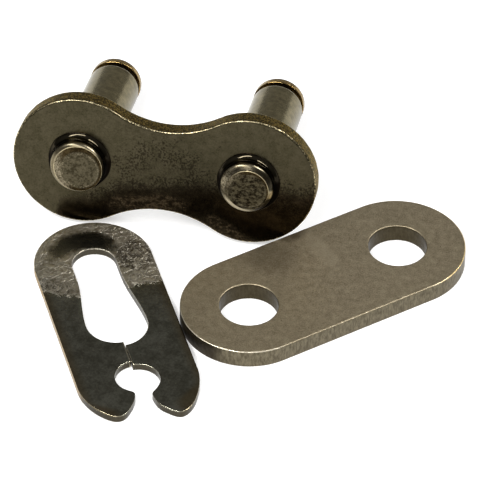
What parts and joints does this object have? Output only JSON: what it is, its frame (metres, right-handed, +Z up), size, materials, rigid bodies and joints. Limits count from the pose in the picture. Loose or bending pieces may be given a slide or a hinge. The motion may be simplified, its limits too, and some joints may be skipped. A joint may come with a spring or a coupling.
{
  "type": "roller chain connecting link",
  "caption": "Connecting link for half-inch pitch roller chain, taken apart: pin link, loose cover plate and spring clip.",
  "frame": {"origin": "on the floor, under the middle of the whole set's bounding box", "axes": "+X from the left pin to the right pin, +Y back along the pins, +Z up"},
  "size_m": [0.034, 0.035, 0.0101],
  "materials": {
    "link_plate_steel": "blackened carbon steel with an oily film, satin to glossy where wet",
    "pin_steel": "ground case-hardened steel, glossy, with rough peened ends",
    "cover_plate_steel": "tumbled carbon steel, matt grey-brown with fine grain",
    "spring_steel": "blued spring steel under a patchy oil film, bare light edges"
  },
  "bodies": {
    "root": {"pin_plate": "link_plate_steel", "left_pin": "pin_steel", "right_pin": "pin_steel", "cover_plate": "cover_plate_steel", "spring_clip": "spring_steel"}
  },
  "joints": []
}
